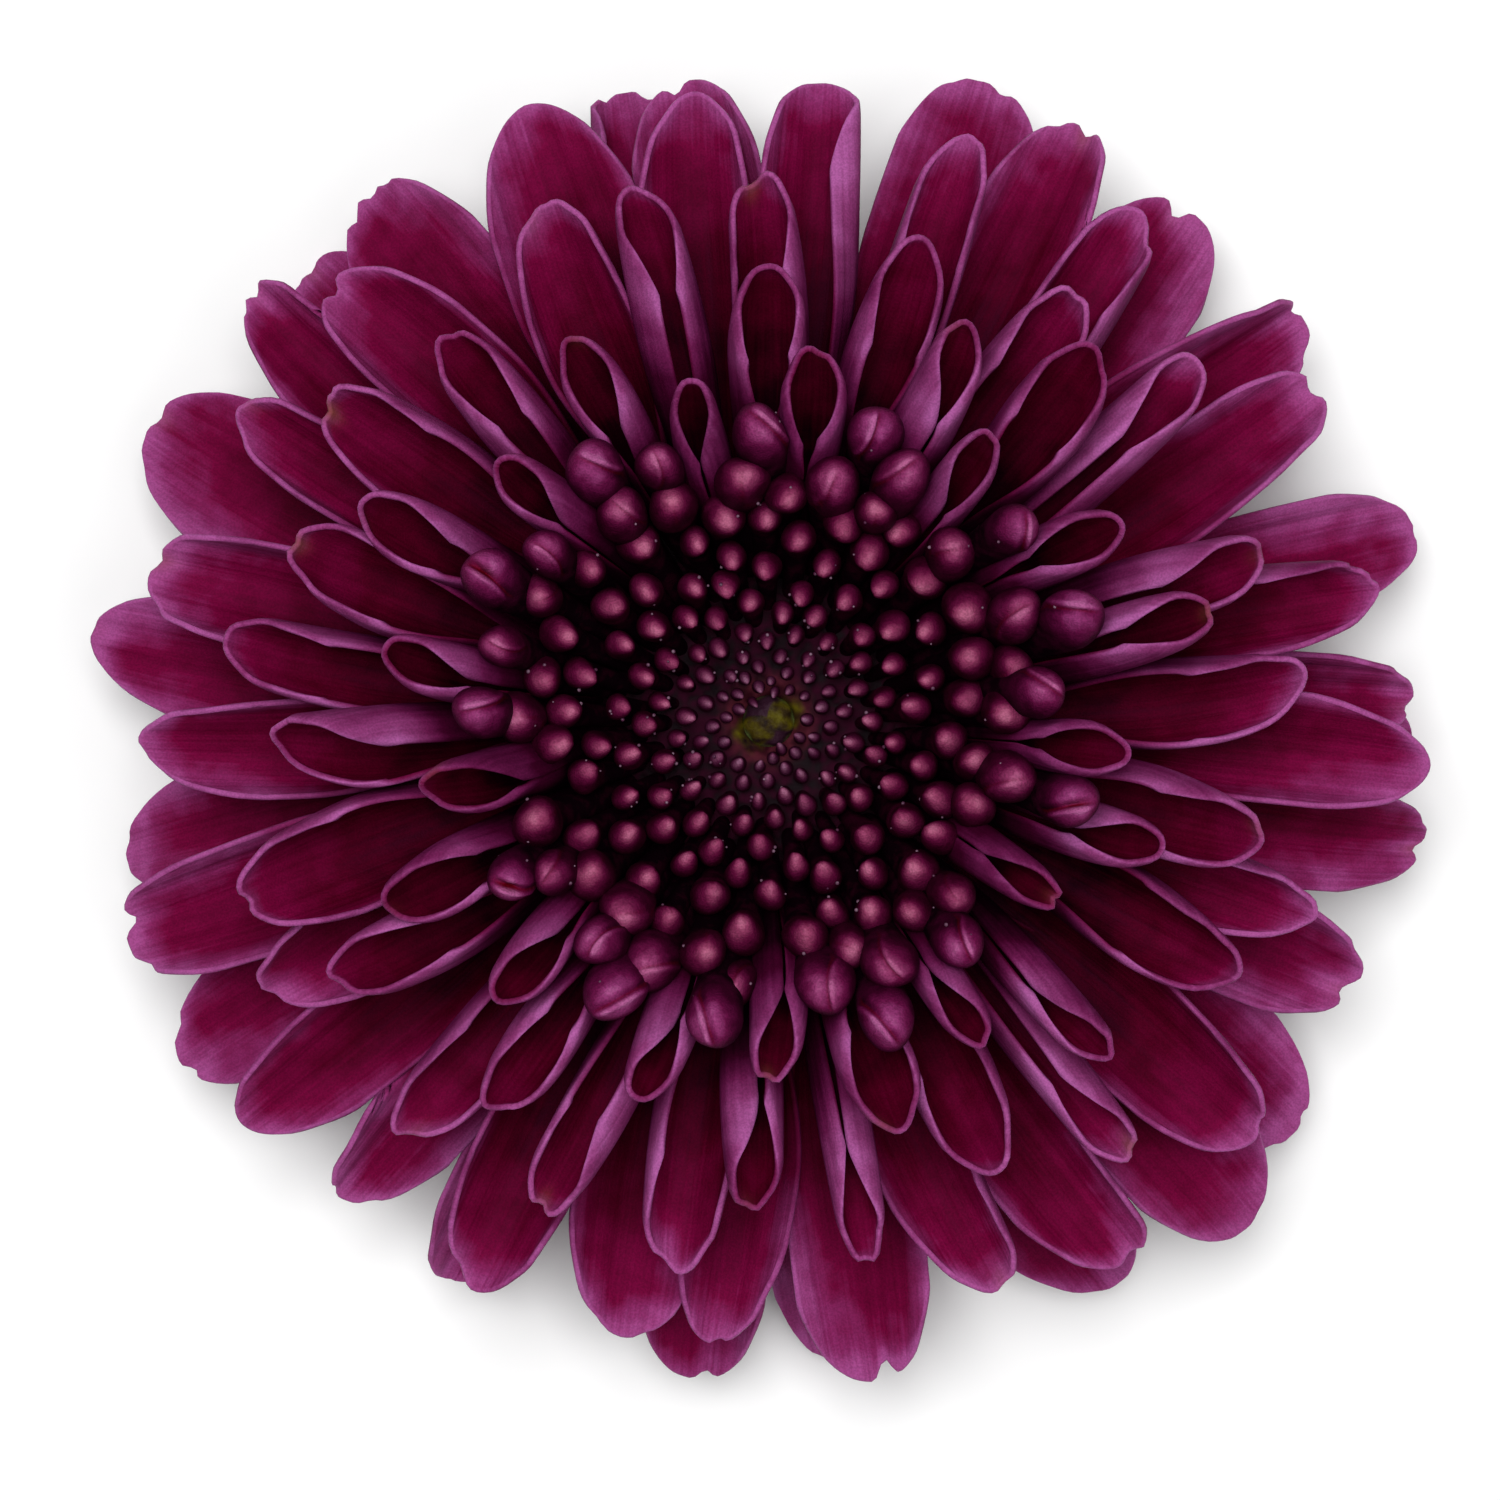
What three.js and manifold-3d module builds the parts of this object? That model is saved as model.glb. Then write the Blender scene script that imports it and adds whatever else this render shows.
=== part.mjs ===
// A pompon chrysanthemum: one cut bloom, lying face up on its own lowest florets.
// Millimetres, +Z up. The origin is on the surface it rests on, under the middle of the bloom.
//
// The bloom is grown by one rule. Florets leave a domed receptacle in a golden-angle spiral,
// oldest at the rim. Age runs from 0, the youngest floret at the centre, to 1, the oldest at
// the rim, and sets how far a floret reaches, how high, and how far it has unrolled: closed
// clubs in the middle, then spoons, then boat-shaped and nearly flat blades outside.
import * as THREE from "three";
import { mergeVertices } from "three/addons/utils/BufferGeometryUtils.js";
import Module from "manifold-3d";

const wasm = await Module();
wasm.setup();

// Driving dimensions
const FACE_RADIUS = 30.0; // middle of the bloom to the outermost floret tips
const CROWN_HEIGHT = 18.4; // surface to the tips of the highest florets
const RECEPTACLE_RADIUS = 9.0; // edge of the dome that carries the florets
const RECEPTACLE_RIM = 7.6; // height of that edge above the surface
const RECEPTACLE_DOME = 2.4; // rise of the dome above its edge
const STALK_RADIUS = 2.2;
const STALK_END = 0.6; // height of the cut end, just clear of the surface

const FLORETS = 208;
const GOLDEN_ANGLE = 137.508; // degrees from one floret to the next
const SEED = 11;
const SUPPORTS = 3; // the oldest florets droop until they carry the bloom

const BLADE_THICK = 0.7;
const GAP = 0.3; // between neighbouring pieces
const EYE_RADIUS = 1.0; // bare tip of the receptacle in the middle of the florets
const CORE_THICK = 1.5; // depth of the packed floret feet below the dome they stand on
const CORE_SWELL = 2.1; // most that the packed feet stand above that dome
const FOOT_DEPTH = 0.9; // how far below the dome a floret's foot starts
const WELD = 0.01; // corners that a join brings nearer than this become one
const ROUND_SIDES = 14; // facets round the stalk and the involucre's cup

// The receptacle's underside: steps outwards from the stalk and up from where it flares
const FLARE_START = 2.9;
const FLARE = [
  [0, 0],
  [0.6, 0.9],
  [2.2, 1.7],
  [6.2, 2.5],
];

// The involucre: a cup of bract feet just clear of the receptacle, and its rows of bracts
const CUP_OUT = 0.33;
const CUP_DOWN = 0.33;
const CUP_THICK = 0.8;
const BRACT_THICK = 0.65;

// Rows from the inside out: how many bracts, from and to which distance from the middle,
// their half width, and how far they lie below the outside of the cup
const BRACT_ROWS = [
  { count: 13, from: 6.8, to: 12.2, half: 1.5, below: 0.0 },
  { count: 13, from: 4.8, to: 10.4, half: 1.45, below: 0.4 },
  { count: 8, from: 3.2, to: 8.0, half: 1.3, below: 0.8 },
];
const BRACT_OUTLINE = [
  [0, 0.8],
  [0.6, 1],
  [1, 0.15],
];

// The midrib by age: reach and tip height as shares of FACE_RADIUS and CROWN_HEIGHT, and the
// slope in degrees at the foot and at the tip, where 90 is straight up and more leans inwards.
const MIDRIBS = [
  { age: 0.0, reach: 0.052, tip: 0.592, rise: 80, end: 95 },
  { age: 0.06, reach: 0.098, tip: 0.647, rise: 70, end: 100 },
  { age: 0.17, reach: 0.192, tip: 0.745, rise: 62, end: 102 },
  { age: 0.35, reach: 0.322, tip: 0.88, rise: 58, end: 106 },
  { age: 0.46, reach: 0.408, tip: 0.973, rise: 58, end: 106 },
  { age: 0.47, reach: 0.411, tip: 0.978, rise: 56, end: 130 },
  { age: 0.54, reach: 0.476, tip: 1.0, rise: 54, end: 122 },
  { age: 0.58, reach: 0.541, tip: 0.989, rise: 54, end: 96 },
  { age: 0.64, reach: 0.651, tip: 0.902, rise: 48, end: 70 },
  { age: 0.7, reach: 0.747, tip: 0.793, rise: 40, end: 52 },
  { age: 0.76, reach: 0.808, tip: 0.685, rise: 32, end: 34 },
  { age: 0.8, reach: 0.9, tip: 0.543, rise: 24, end: 14 },
  { age: 0.86, reach: 0.95, tip: 0.402, rise: 16, end: 0 },
  { age: 0.92, reach: 0.993, tip: 0.25, rise: 8, end: -14 },
  { age: 1.0, reach: 1.0, tip: 0.12, rise: 2, end: -26 },
];

// The blade by age: half width laid flat in mm, and how far its cross-section curls up from
// margin to margin, in radians, at the tip and at the foot.
const BLADES = [
  { age: 0.47, half: 2.55, tipCurl: 5.4, footCurl: 5.9 },
  { age: 0.54, half: 3.05, tipCurl: 4.8, footCurl: 5.8 },
  { age: 0.61, half: 3.35, tipCurl: 3.7, footCurl: 5.6 },
  { age: 0.68, half: 3.25, tipCurl: 2.9, footCurl: 5.2 },
  { age: 0.75, half: 3.05, tipCurl: 2.1, footCurl: 4.6 },
  { age: 0.82, half: 2.95, tipCurl: 1.4, footCurl: 3.8 },
  { age: 0.9, half: 2.85, tipCurl: 1.0, footCurl: 3.0 },
  { age: 1.0, half: 2.75, tipCurl: 0.7, footCurl: 2.6 },
];

const OPEN_AGE = 0.56; // younger florets are still closed clubs
const MOST_CURL = 4.3; // radians, so that the margins of a thick blade stay apart
const LEAST_BEND = 0.46; // mm, the tightest radius that a thick blade is rolled to

const { degToRad, clamp, lerp } = THREE.MathUtils;

let drawState = SEED;

// A seeded draw between two values, the same on every run
function draw(low, high) {
  drawState = (drawState * 1664525 + 1013904223) % 4294967296;
  return low + ((high - low) * drawState) / 4294967296;
}

// A table's value at an age, on straight lines between its rows
function atAge(table, age, key) {
  const upper = Math.max(1, table.findIndex((row) => row.age >= age));
  const from = table[upper - 1];
  const to = table[upper];
  const share = clamp((age - from.age) / (to.age - from.age), 0, 1);
  return lerp(from[key], to[key], share);
}

// Height of the receptacle's dome, which the florets stand on, at a distance from the middle
function domeHeight(radius) {
  return RECEPTACLE_RIM + RECEPTACLE_DOME * (1 - (radius / RECEPTACLE_RADIUS) ** 2);
}

function growFloret(k) {
  const age = 1 - (k + 0.5) / FLORETS;
  const unrolled = Math.max(0, (age - 0.47) / 0.53);
  const reach = FACE_RADIUS * atAge(MIDRIBS, age, "reach");
  const tip = CROWN_HEIGHT * atAge(MIDRIBS, age, "tip");
  const innermost = EYE_RADIUS + 0.6;
  const footArea = lerp(innermost ** 2, RECEPTACLE_RADIUS ** 2, age);
  const floret = { age, footRadius: Math.sqrt(footArea) };
  floret.azimuth = degToRad(GOLDEN_ANGLE * k + draw(-1, 1) * 2.5);
  floret.reach = reach * (1 + draw(-1, 1) * 0.042);
  floret.tip = tip + draw(-1, 1) * (age < 0.3 ? 0.3 : 0.5 + 0.5 * unrolled);
  floret.rise = degToRad(atAge(MIDRIBS, age, "rise"));
  floret.end = degToRad(atAge(MIDRIBS, age, "end") + draw(-1, 1) * 10);
  const size = 1 + draw(-1, 1) * 0.14;
  floret.half = atAge(BLADES, age, "half") * size;
  floret.knob = (0.24 + 0.104 * reach) * size;
  floret.tipCurl = atAge(BLADES, age, "tipCurl") * (1 + draw(-1, 1) * 0.22);
  floret.footCurl = atAge(BLADES, age, "footCurl");
  floret.roll = degToRad(draw(-1, 1) * (10 + 26 * (1 - unrolled) ** 2));
  floret.twist = degToRad(draw(-1, 1) * 16);
  floret.sway = draw(-1, 1) * 0.06;
  if (k < SUPPORTS) {
    floret.reach = FACE_RADIUS * 0.98;
    floret.tip = 0;
    floret.end = degToRad(-30);
  }
  return floret;
}

// The midrib is a cubic from the foot to the tip, in the floret's own upright plane
function midrib(floret, s) {
  const foot = new THREE.Vector2(floret.footRadius, domeHeight(floret.footRadius) - FOOT_DEPTH);
  const tip = new THREE.Vector2(floret.reach, floret.tip);
  const length = foot.distanceTo(tip);
  const endPull = floret.age < OPEN_AGE ? 0.45 : 0.3;
  const rise = new THREE.Vector2(Math.cos(floret.rise), Math.sin(floret.rise));
  const end = new THREE.Vector2(Math.cos(floret.end), Math.sin(floret.end));
  const first = foot.clone().addScaledVector(rise, 0.42 * length);
  const second = tip.clone().addScaledVector(end, -endPull * length);
  const curve = new THREE.CubicBezierCurve(foot, first, second, tip);
  return { point: curve.getPoint(s), along: curve.getTangent(s) };
}

// From the floret's plane to the bloom: x is across the blade, n is out of its inner face
function place(floret, s, x, n) {
  const { point, along } = midrib(floret, s);
  const roll = floret.roll * s + floret.twist * s ** 2;
  const side = x * Math.cos(roll) - n * Math.sin(roll) + floret.sway * floret.reach * s ** 2;
  const up = x * Math.sin(roll) + n * Math.cos(roll);
  const radius = point.x - along.y * up;
  const cos = Math.cos(floret.azimuth);
  const sin = Math.sin(floret.azimuth);
  return [radius * cos - side * sin, radius * sin + side * cos, point.y + along.x * up];
}

// A closed mesh from a grid of points on each of a sheet's two faces, split alike on both
function sheetSolid(inner, outer) {
  const rows = inner.length;
  const columns = inner[0].length;
  const points = [...inner.flat(), ...outer.flat()];
  const at = (i, j) => i * columns + j;
  const back = rows * columns;
  const faces = [];
  for (let i = 0; i < rows - 1; i++) {
    for (let j = 0; j < columns - 1; j++) {
      const [a, b, c, d] = [at(i, j), at(i, j + 1), at(i + 1, j + 1), at(i + 1, j)];
      faces.push([a, c, b], [a, d, c]);
      faces.push([back + a, back + b, back + c], [back + a, back + c, back + d]);
    }
  }
  const edge = [];
  for (let j = 0; j < columns - 1; j++) edge.push(at(0, j));
  for (let i = 0; i < rows - 1; i++) edge.push(at(i, columns - 1));
  for (let j = columns - 1; j > 0; j--) edge.push(at(rows - 1, j));
  for (let i = rows - 1; i > 0; i--) edge.push(at(i, 0));
  edge.forEach((a, i) => {
    const b = edge[(i + 1) % edge.length];
    faces.push([a, b, back + b], [a, back + b, back + a]);
  });
  return toSolid(points, faces);
}

function toSolid(points, faces) {
  const mesh = new wasm.Mesh({
    numProp: 3,
    vertProperties: new Float32Array(points.flat()),
    triVerts: new Uint32Array(faces.flat()),
    tolerance: WELD,
  });
  return new wasm.Manifold(mesh);
}

// Half width of a blade along its length, as a share of its widest
function outline(s) {
  const widest = 0.55;
  if (s < widest) return 0.22 + 0.78 * Math.sin((Math.PI / 2) * (s / widest)) ** 1.2;
  return 1 - 0.14 * ((s - widest) / (1 - widest)) ** 2;
}

// An open floret: a blade whose foot is a plain bar, with its cross-section an arc
function bladeSolid(floret) {
  const across = floret.age > 0.76 ? 2 : 3;
  const stations = [0, 0.6, 1];
  const inner = [];
  const outer = [];
  for (const station of stations) {
    const innerRow = [];
    const outerRow = [];
    for (let j = 0; j <= across; j++) {
      const even = (2 * j) / across - 1;
      const u = station === 0 ? (even < 0 ? -1 : 1) : even;
      const s = station * (1 - 0.16 * u ** 2);
      const width = floret.half * outline(s);
      const curl = lerp(floret.tipCurl, floret.footCurl, (1 - s) ** 1.6);
      const bend = 0.5 * Math.min(curl, MOST_CURL, (2 * width) / LEAST_BEND);
      const angle = bend * u;
      const x = (width * Math.sin(angle)) / bend;
      const n = (width * (1 - Math.cos(angle))) / bend;
      const half = BLADE_THICK / 2;
      innerRow.push(place(floret, s, x - half * Math.sin(angle), n + half * Math.cos(angle)));
      outerRow.push(place(floret, s, x + half * Math.sin(angle), n - half * Math.cos(angle)));
    }
    inner.push(innerRow);
    outer.push(outerRow);
  }
  return sheetSolid(inner, outer);
}

// A closed floret: a slim stalk that swells into a round knob
function clubSolid(floret) {
  const sides = floret.age < 0.3 ? 3 : 4;
  const length = Math.hypot(floret.reach - floret.footRadius, floret.tip - RECEPTACLE_RIM);
  const cap = Math.min(0.45, (1.25 * floret.knob) / length);
  const rings = [
    { s: 0, share: 0.45 },
    { s: 1 - cap, share: 1.1 },
  ];
  if (floret.age > 0.2) rings.splice(1, 0, { s: 0.62 * (1 - cap), share: 0.55 });
  const points = [];
  for (const ring of rings) {
    for (let j = 0; j < sides; j++) {
      const turn = (2 * Math.PI * j) / sides + floret.twist;
      const radius = floret.knob * ring.share;
      points.push(place(floret, ring.s, radius * Math.cos(turn), radius * Math.sin(turn)));
    }
  }
  const foot = points.push(place(floret, 0, 0, 0)) - 1;
  const crown = points.push(place(floret, 1, 0, 0)) - 1;
  const top = (rings.length - 1) * sides;
  const faces = [];
  for (let j = 0; j < sides; j++) {
    const next = (j + 1) % sides;
    faces.push([foot, next, j], [crown, top + j, top + next]);
    for (let i = 0; i < top; i += sides) {
      faces.push([i + j, i + next, i + sides + next], [i + j, i + sides + next, i + sides + j]);
    }
  }
  return toSolid(points, faces);
}

// A solid of revolution from a closed profile of [radius, height] pairs, listed from the
// lower inner corner outwards and back over the top
function turned(profile, segments) {
  const outlinePoints = profile.map(([radius, height]) => new THREE.Vector2(radius, height));
  if (profile[0][0] > 0) outlinePoints.push(outlinePoints[0].clone());
  const geometry = new THREE.LatheGeometry(outlinePoints, segments);
  geometry.rotateX(Math.PI / 2);
  return onlyPositions(geometry);
}

// A geometry with its shared corners merged into one
function onlyPositions(geometry) {
  geometry.deleteAttribute("normal");
  geometry.deleteAttribute("uv");
  return mergeVertices(geometry, 1e-4);
}

function solidOf(geometry) {
  return toSolid([...geometry.attributes.position.array], [...geometry.index.array]);
}

// Solids joined into one body: a pocket sealed between them is filled
function fused(solids) {
  const shells = wasm.Manifold.union(solids).decompose();
  return shells.reduce((most, shell) => (shell.volume() > most.volume() ? shell : most));
}

function geometryOf(solid) {
  const mesh = solid.getMesh();
  const geometry = new THREE.BufferGeometry();
  geometry.setAttribute("position", new THREE.BufferAttribute(mesh.vertProperties, 3));
  geometry.setIndex(new THREE.BufferAttribute(mesh.triVerts, 1));
  return geometry;
}

// Points of a line along the dome from one radius to another, a fixed depth below it
function domeLine(fromRadius, toRadius, depth, steps) {
  const line = [];
  for (let i = 0; i <= steps; i++) {
    const radius = lerp(fromRadius, toRadius, i / steps);
    line.push([radius, domeHeight(radius) - depth]);
  }
  return line;
}

// The packed feet of all florets, a dome with a hole where the receptacle's tip shows
function coreSolid() {
  const hole = EYE_RADIUS + GAP;
  const edge = RECEPTACLE_RADIUS + 0.6;
  const top = [0.97, 0.8, 0.5, 0.2].map((share) => {
    const radius = lerp(hole, edge, share);
    return [radius, domeHeight(radius) + CORE_SWELL * Math.sin(Math.PI * share ** 1.3)];
  });
  const profile = [
    ...domeLine(hole, RECEPTACLE_RADIUS, CORE_THICK, 3),
    ...top,
    [hole, domeHeight(hole)],
  ];
  return solidOf(turned(profile, ROUND_SIDES));
}

function floretsGeometry() {
  const solids = [coreSolid()];
  for (let k = 0; k < FLORETS; k++) {
    const floret = growFloret(k);
    solids.push(floret.age < OPEN_AGE ? clubSolid(floret) : bladeSolid(floret));
  }
  return geometryOf(fused(solids).subtract(belowSurface()));
}

// What lies under the surface the bloom rests on; it cuts the supports' tips flat
function belowSurface() {
  const depth = 10;
  const block = new THREE.BoxGeometry(4 * FACE_RADIUS, 4 * FACE_RADIUS, depth);
  block.translate(0, 0, -depth / 2);
  return solidOf(onlyPositions(block));
}

// The underside of the receptacle, from the stalk out to its rim, moved out and down
function flareLine(out, down) {
  return FLARE.map(([radius, height]) => [
    STALK_RADIUS + radius + out,
    FLARE_START + height - down,
  ]);
}

// The receptacle on its cut stalk: grown in one, it flares under the florets to carry them,
// and its bare tip shows in the middle of the bloom
function stalkGeometry() {
  const flare = flareLine(0, 0);
  const rim = flare[flare.length - 1][0];
  const crown = domeHeight(0);
  const profile = [
    [0, STALK_END],
    [STALK_RADIUS, STALK_END],
    ...flare,
    ...domeLine(rim, EYE_RADIUS, CORE_THICK + 1.2 * GAP, 3),
    [EYE_RADIUS, crown - 0.5],
    [0.6 * EYE_RADIUS, crown - 0.1],
    [0, crown + 0.1],
  ];
  return turned(profile, ROUND_SIDES);
}

// Height of the outside of the involucre's cup, carried on past its rim at a gentle slope
function cupHeight(radius) {
  const line = flareLine(CUP_OUT, CUP_DOWN + CUP_THICK);
  const [rimRadius, rimHeight] = line[line.length - 1];
  if (radius > rimRadius) return rimHeight + 0.2 * (radius - rimRadius);
  const upper = Math.max(1, line.findIndex(([end]) => end >= radius));
  const [from, to] = [line[upper - 1], line[upper]];
  return lerp(from[1], to[1], (radius - from[0]) / (to[0] - from[0]));
}

// A bract: a pointed green scale that lies against the cup and hollows upwards
function bractSolid(row, azimuth) {
  const inner = [];
  const outer = [];
  for (const [along, width] of BRACT_OUTLINE) {
    const radius = lerp(row.from, row.to, along);
    const height = cupHeight(radius) - row.below;
    const innerRow = [];
    const outerRow = [];
    for (const u of [-1, 0, 1]) {
      const side = u * row.half * width;
      const lift = 0.25 * Math.abs(u) * width;
      const x = radius * Math.cos(azimuth) - side * Math.sin(azimuth);
      const y = radius * Math.sin(azimuth) + side * Math.cos(azimuth);
      innerRow.push([x, y, height + lift + BRACT_THICK / 2]);
      outerRow.push([x, y, height + lift - BRACT_THICK / 2]);
    }
    inner.push(innerRow);
    outer.push(outerRow);
  }
  return sheetSolid(inner, outer);
}

function involucreGeometry() {
  const upper = flareLine(CUP_OUT, CUP_DOWN);
  const lower = flareLine(CUP_OUT, CUP_DOWN + CUP_THICK);
  const solids = [solidOf(turned([...lower, ...upper.reverse()], ROUND_SIDES))];
  BRACT_ROWS.forEach((row, rowIndex) => {
    for (let i = 0; i < row.count; i++) {
      const azimuth = (2 * Math.PI * (i + rowIndex / 2)) / row.count;
      solids.push(bractSolid(row, azimuth));
    }
  });
  return geometryOf(fused(solids));
}

function piece(name, geometry, color, roughness) {
  const material = new THREE.MeshStandardMaterial({ color, roughness, metalness: 0 });
  const mesh = new THREE.Mesh(geometry, material);
  mesh.name = name;
  return mesh;
}

const chrysanthemum = new THREE.Group();
chrysanthemum.add(piece("ray_florets", floretsGeometry(), 0x6d1945, 0.6));
chrysanthemum.add(piece("involucre", involucreGeometry(), 0x56692f, 0.7));
chrysanthemum.add(piece("stalk", stalkGeometry(), 0x6f7d35, 0.65));

// Centred over the origin
const box = new THREE.Box3().setFromObject(chrysanthemum);
const middle = box.getCenter(new THREE.Vector3());
chrysanthemum.position.set(-middle.x, -middle.y, 0);

export default chrysanthemum;
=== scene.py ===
"""The looks of the pompon chrysanthemum: one cut bloom lying face up on its own lowest florets.

The open florets grow by the same rule as in the part's source, and are thinner, finer and more
tightly curled than there. The closed ones in the middle crowd closer. Sizes are in millimetres,
and a mesh is scaled to metres when it is made.
"""

import math
from types import SimpleNamespace

import bmesh
import bpy
import numpy as np
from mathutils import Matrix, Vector
from mathutils.bvhtree import BVHTree
from mathutils.kdtree import KDTree


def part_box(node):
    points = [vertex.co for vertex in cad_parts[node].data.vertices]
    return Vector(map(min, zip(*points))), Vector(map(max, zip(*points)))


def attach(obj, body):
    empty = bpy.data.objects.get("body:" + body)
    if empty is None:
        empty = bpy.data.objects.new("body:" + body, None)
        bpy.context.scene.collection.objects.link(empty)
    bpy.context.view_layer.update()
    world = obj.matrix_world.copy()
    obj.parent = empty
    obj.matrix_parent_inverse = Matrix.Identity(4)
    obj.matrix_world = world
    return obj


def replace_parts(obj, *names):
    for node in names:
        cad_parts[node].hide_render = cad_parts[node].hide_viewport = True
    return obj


MM = 0.001

# ---- The rule that the bloom grows by, as in the part's source

FACE_RADIUS = 30.0  # middle of the bloom to the outermost floret tips
CROWN_HEIGHT = 18.4  # surface to the tips of the highest florets
RECEPTACLE_RADIUS = 9.0  # edge of the dome that carries the florets
RECEPTACLE_RIM = 7.6  # height of that edge above the surface
RECEPTACLE_DOME = 2.4  # rise of the dome above its edge
STALK_RADIUS = 2.2
STALK_END = 0.6  # height of the cut end
FLORETS = 208
GOLDEN_ANGLE = math.radians(137.508)
SEED = 11
GAP = 0.3  # between neighbouring pieces
EYE_RADIUS = 1.0  # bare tip of the receptacle
CORE_THICK = 1.5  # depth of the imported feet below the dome
FOOT_DEPTH = 0.9  # how far below the dome a midrib starts

SUPPORTS = 3  # the oldest florets droop until they carry the bloom
SUPPORT_REACH = 0.98
SUPPORT_END = -30

# How far a midrib's two inner points lie from its ends, as shares of its length
START_PULL = 0.42
END_PULL = 0.3
YOUNG_END_PULL = 0.45
YOUNG_AGE = 0.56  # up to here the young pull holds

# How far a floret strays either way from what its age gives, in degrees or as a share
AZIMUTH_STRAY = 2.5
END_STRAY = 10
TWIST_STRAY = 16
ROLL_STRAY = 10
YOUNG_ROLL_STRAY = 26  # the more for a closed one
REACH_STRAY = 0.042
SIZE_STRAY = 0.14
CURL_STRAY = 0.22
SWAY_STRAY = 0.06
TIP_STRAY = 0.5  # mm, and twice that when fully open

# age, reach as a share of FACE_RADIUS, tip height as a share of CROWN_HEIGHT, slope in degrees
# at the foot and at the tip
MIDRIBS = np.array([
    (0.0, 0.052, 0.592, 80, 95),
    (0.06, 0.098, 0.647, 70, 100),
    (0.17, 0.192, 0.745, 62, 102),
    (0.35, 0.322, 0.88, 58, 106),
    (0.46, 0.408, 0.973, 58, 106),
    (0.47, 0.411, 0.978, 56, 130),
    (0.54, 0.476, 1.0, 54, 122),
    (0.58, 0.541, 0.989, 54, 96),
    (0.64, 0.651, 0.902, 48, 70),
    (0.7, 0.747, 0.793, 40, 52),
    (0.76, 0.808, 0.685, 32, 34),
    (0.8, 0.9, 0.543, 24, 14),
    (0.86, 0.95, 0.402, 16, 0),
    (0.92, 0.993, 0.25, 8, -14),
    (1.0, 1.0, 0.12, 2, -26),
])

# The receptacle's underside: steps outwards from the stalk and up from where it flares
FLARE_START = 2.9
FLARE = np.array([(0, 0), (0.6, 0.9), (2.2, 1.7), (6.2, 2.5)])

# The involucre's cup, clear of the receptacle
CUP_OUT = 0.33
CUP_DOWN = 0.33
CUP_THICK = 0.8
BRACT_THICK = 0.65

# Rows of bracts: how many, from and to which distance from the middle, their half width, and
# how far they lie below the outside of the cup
BRACT_ROWS = [(13, 6.8, 12.2, 1.5, 0.0), (13, 4.8, 10.4, 1.45, 0.4), (8, 3.2, 8.0, 1.3, 0.8)]

# ---- Finer forms that only the looks have

# age, half width laid flat, curl from margin to margin in radians at the tip and at the foot,
# between which shares of the length it opens, how far the tip's margins bend back and roll in
BLADES = np.array([
    (0.54, 3.1, 5.5, 6.25, 0.56, 0.95, 0.0, 0.4),
    (0.61, 3.5, 5.1, 6.25, 0.4, 0.82, 0.0, 0.45),
    (0.68, 3.6, 4.6, 6.1, 0.2, 0.72, 0.0, 0.35),
    (0.75, 3.4, 3.9, 5.6, 0.0, 0.6, 0.0, 0.25),
    (0.82, 3.3, 2.7, 4.6, 0.0, 0.6, 0.1, 0.15),
    (0.9, 3.25, 1.5, 3.5, 0.0, 0.5, 0.45, 0.05),
    (1.0, 3.25, 0.8, 2.8, 0.0, 0.5, 0.9, 0.0),
])

# age and slope at the tip of young florets: the youngest bend over towards the middle, and the
# first that open lean out
YOUNG_ENDS = np.array([
    (0, 124), (0.15, 136), (0.32, 130), (0.38, 108), (0.42, 84),
    (0.47, 70), (0.56, 66), (0.64, 60), (0.7, 52),
])

CLUB_AGE = 0.54  # younger florets are closed
CLOSED_AGE = 0.46  # florets down to this age stand where the part's own do

# The closed florets further in: where they begin, their spacing at the middle, its growth for
# each millimetre outwards, their stray and knob radius as shares of the spacing, and their sway
CLOSED_REACH = 12.3
CLOSED_SPACING = 0.38
SPACING_GROWTH = 0.205
CLOSED_STRAY = 0.1
CLOSED_KNOB = 0.42
CLOSED_SWAY = 0.04

# Knobs of the outermost closed florets: radius at the middle, growth outwards, end of growth
KNOB_RADIUS = 0.08
KNOB_GROWTH = 0.083
KNOB_REACH = 12.5

FEET_SWELL = 1.0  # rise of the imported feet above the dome

BLADE_THICK = 0.26
RIM_ROUND = 0.13  # width of a blade's rounded edge
MOST_CURL = 6.2  # radians
LEAST_BEND = 0.34  # tightest radius of a rolled blade
TIP_ROLL = 0.9  # length of the tip that rolls in
NOTCH_DEPTH = 0.75
TOOTH_DEPTH = 0.4
FLAP_TURN = 2.2  # radians that a margin folds over, on a few florets
SOUTH_ROLL = 20  # degrees that blades roll, so that their openings lean towards -Y
SOUTH_ROLL_STRAY = 16

YIELD_REACH = 2.6  # a floret gives way if it sticks up through a younger one by less
YIELD_CLEARANCE = 0.42
YIELD_AZIMUTH = math.radians(36)  # florets further apart don't meet
FLOOR_CLEARANCE = 0.02
NEAR_KNOBS_AGE = 0.75  # older florets lie too far out to touch a knob
ROOM_STEPS = 56  # places tried for a knob before its floret is left out
ROOM_ASIDE = 7  # of them side by side, before a row further in

SECTION_STEPS = 24
BLADE_ROWS, BLADE_COLUMNS = 52, 31
BRACT_GRID = (22, 15)  # rows and columns
STALK_RIBS = 9
GLANDS = 190
GLAND_RADIUS = 0.07
GLAND_BEARERS = 0.88  # share of the closed florets, from the outermost

# Pieces of open florets: name, and the ages from and to which it holds them
OPEN_PIECES = [
    ("florets_hooded", CLUB_AGE, 0.58),
    ("florets_spoon", 0.58, 0.72),
    ("florets_boat", 0.72, 0.86),
    ("florets_outer", 0.86, 1.0),
]

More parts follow.
